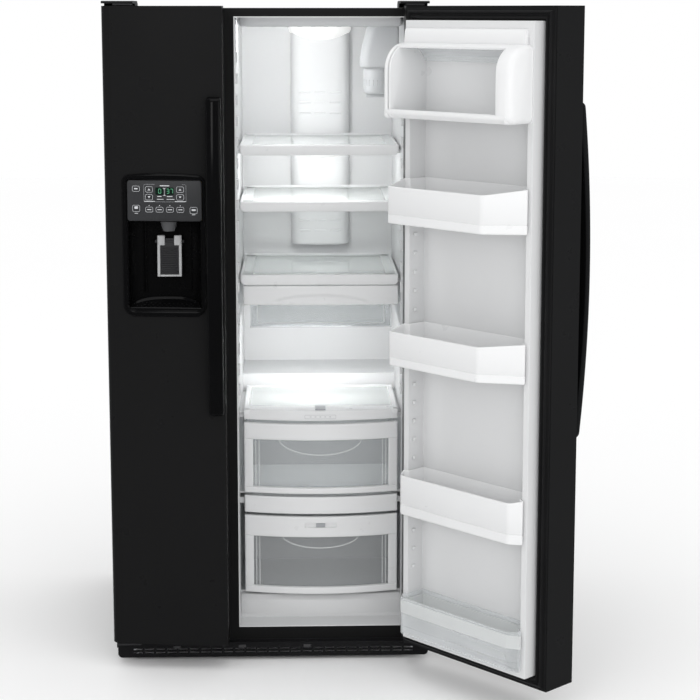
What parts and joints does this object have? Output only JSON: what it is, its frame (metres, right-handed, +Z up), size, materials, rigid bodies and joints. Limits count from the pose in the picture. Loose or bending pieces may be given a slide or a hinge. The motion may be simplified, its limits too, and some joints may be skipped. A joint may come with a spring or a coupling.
{
  "type": "side by side refrigerator",
  "caption": "Tall two-door refrigerator with side by side freezer and fresh food compartments, door dispenser, bowed handles, shelves, drawers and door bins, fresh food door open.",
  "frame": {"origin": "on the floor, under the middle of the box around the object with its fresh food door open at rest", "axes": "+Z up, -Y out of the cabinet's front, +X to the right for someone facing the doors"},
  "size_m": [1.1971, 1.2307, 1.7375],
  "materials": {
    "black_enamel": "satin",
    "zinc_sheet": "satin",
    "foam": "matt",
    "white_liner": "semi gloss",
    "dark_steel": "satin",
    "black_plastic": "fine grain",
    "zinc_steel": "plated",
    "grey_plastic": "satin",
    "white_plastic": "semi gloss",
    "frosted_plastic": "frosted",
    "shelf_glass": "polished",
    "clear_plastic": "clear",
    "white_wire": "coated",
    "cast_aluminium": "cast",
    "stainless": "satin",
    "aluminium_fins": "bare",
    "dark_plastic": "satin",
    "black_rubber": "matt",
    "black_gloss": "gloss",
    "panel_grey": "satin"
  },
  "bodies": {
    "cabinet": {"cabinet_wrapper": "black_enamel", "rear_panel": "zinc_sheet", "insulation_foam": "foam", "freezer_liner": "white_liner", "fresh_food_liner": "white_liner", "base_frame": "dark_steel", "base_grille": "black_plastic", "levelling_legs": "zinc_steel", "hinge_brackets": "zinc_steel", "hinge_covers": "black_plastic", "air_tower": "white_plastic", "ceiling_light_shield": "frosted_plastic", "water_filter_housing": "white_plastic", "shelf_frames": "white_plastic", "shelf_glass": "shelf_glass", "drawer_covers": "white_plastic", "freezer_shelves": "white_wire", "freezer_baskets": "white_plastic", "ice_maker": "cast_aluminium", "ice_bucket": "clear_plastic", "evaporator": "aluminium_fins", "evaporator_cover": "white_liner", "compressor": "black_enamel", "condenser_coil": "dark_steel", "machine_cover": "zinc_sheet", "power_inlet": "black_plastic"},
    "fresh_food_door": {"fresh_food_door_skin": "black_enamel", "fresh_food_door_foam": "foam", "fresh_food_door_liner": "white_liner", "fresh_food_door_gasket": "black_rubber", "fresh_food_door_handle": "black_gloss", "fresh_food_door_bins": "white_plastic", "dairy_compartment": "white_plastic", "bottle_retainer": "clear_plastic"},
    "freezer_door": {"freezer_door_skin": "black_enamel", "freezer_door_foam": "foam", "freezer_door_liner": "white_liner", "freezer_door_gasket": "black_rubber", "freezer_door_handle": "black_gloss", "dispenser_housing": "black_gloss", "control_panel": "panel_grey", "dispenser_nozzle": "grey_plastic", "drip_tray": "black_plastic", "freezer_door_bins": "white_plastic"},
    "dairy_lid": {"dairy_cover": "clear_plastic"},
    "paddle": {"dispenser_paddle": "dark_plastic"},
    "snack_drawer": {"snack_pan": "clear_plastic", "snack_pan_front": "white_plastic"},
    "crisper_drawer": {"crisper_pan": "clear_plastic", "crisper_front": "white_plastic"},
    "meat_drawer": {"meat_pan": "clear_plastic", "meat_pan_front": "white_plastic"},
    "humidity_control": {"humidity_slider": "grey_plastic"},
    "temperature_control": {"temperature_slider": "grey_plastic"},
    "feeler_arm": {"ice_maker_arm": "grey_plastic"},
    "auger": {"ice_auger": "stainless"},
    "freezer_fan": {"evaporator_fan": "dark_plastic"},
    "machine_fan": {"condenser_fan": "dark_plastic"},
    "rear_wheels": {"rear_rollers": "grey_plastic"},
    "filter": {"water_filter_cartridge": "white_plastic"}
  },
  "joints": [
    {"name": "fresh_food_door_hinge", "type": "hinge", "parent": "cabinet", "child": "fresh_food_door", "pos_m": [0.1995, -0.164, 0.9], "axis": [0, 0, 1], "range_deg": [-131.7, 8.3]},
    {"name": "freezer_door_hinge", "type": "hinge", "parent": "cabinet", "child": "freezer_door", "pos_m": [-0.5585, -0.164, 0.9], "axis": [0, 0, -1], "range_deg": [0, 140]},
    {"name": "dairy_lid_hinge", "type": "hinge", "parent": "fresh_food_door", "child": "dairy_lid", "pos_m": [0.29032, -0.41926, 1.57], "axis": [-0.6652, 0.7466, 0], "range_deg": [-90, 0]},
    {"name": "paddle_pivot", "type": "hinge", "parent": "freezer_door", "child": "paddle", "pos_m": [-0.4375, -0.159, 1.13], "axis": [1, 0, 0], "range_deg": [0, 7], "stiffness_Nm_per_rad": 0.3, "springref_deg": -4.58},
    {"name": "snack_drawer_slide", "type": "slide", "parent": "cabinet", "child": "snack_drawer", "axis": [0, -1, 0], "range_m": [0, 0.26]},
    {"name": "crisper_drawer_slide", "type": "slide", "parent": "cabinet", "child": "crisper_drawer", "axis": [0, -1, 0], "range_m": [0, 0.18]},
    {"name": "meat_drawer_slide", "type": "slide", "parent": "cabinet", "child": "meat_drawer", "axis": [0, -1, 0], "range_m": [0, 0.18]},
    {"name": "humidity_slide", "type": "slide", "parent": "cabinet", "child": "humidity_control", "axis": [1, 0, 0], "range_m": [-0.02, 0.02]},
    {"name": "temperature_slide", "type": "slide", "parent": "meat_drawer", "child": "temperature_control", "axis": [1, 0, 0], "range_m": [-0.028, 0.028]},
    {"name": "feeler_arm_pivot", "type": "hinge", "parent": "cabinet", "child": "feeler_arm", "pos_m": [-0.3735, 0.087, 1.556], "axis": [0, 1, 0], "range_deg": [-22, 22]},
    {"name": "auger_spin", "type": "hinge", "parent": "cabinet", "child": "auger", "pos_m": [-0.4195, 0.157, 1.345], "axis": [0, 1, 0], "continuous": true},
    {"name": "freezer_fan_spin", "type": "hinge", "parent": "cabinet", "child": "freezer_fan", "pos_m": [-0.4195, 0.437, 1], "axis": [0, 1, 0], "continuous": true},
    {"name": "machine_fan_spin", "type": "hinge", "parent": "cabinet", "child": "machine_fan", "pos_m": [-0.2295, 0.499, 0.122], "axis": [1, 0, 0], "continuous": true},
    {"name": "rear_wheels_spin", "type": "hinge", "parent": "cabinet", "child": "rear_wheels", "pos_m": [-0.1795, 0.497, 0.022], "axis": [1, 0, 0], "continuous": true},
    {"name": "filter_twist", "type": "hinge", "parent": "cabinet", "child": "filter", "pos_m": [0.1075, 0.197, 1.56], "axis": [0, 0, 1], "range_deg": [0, 90]}
  ]
}
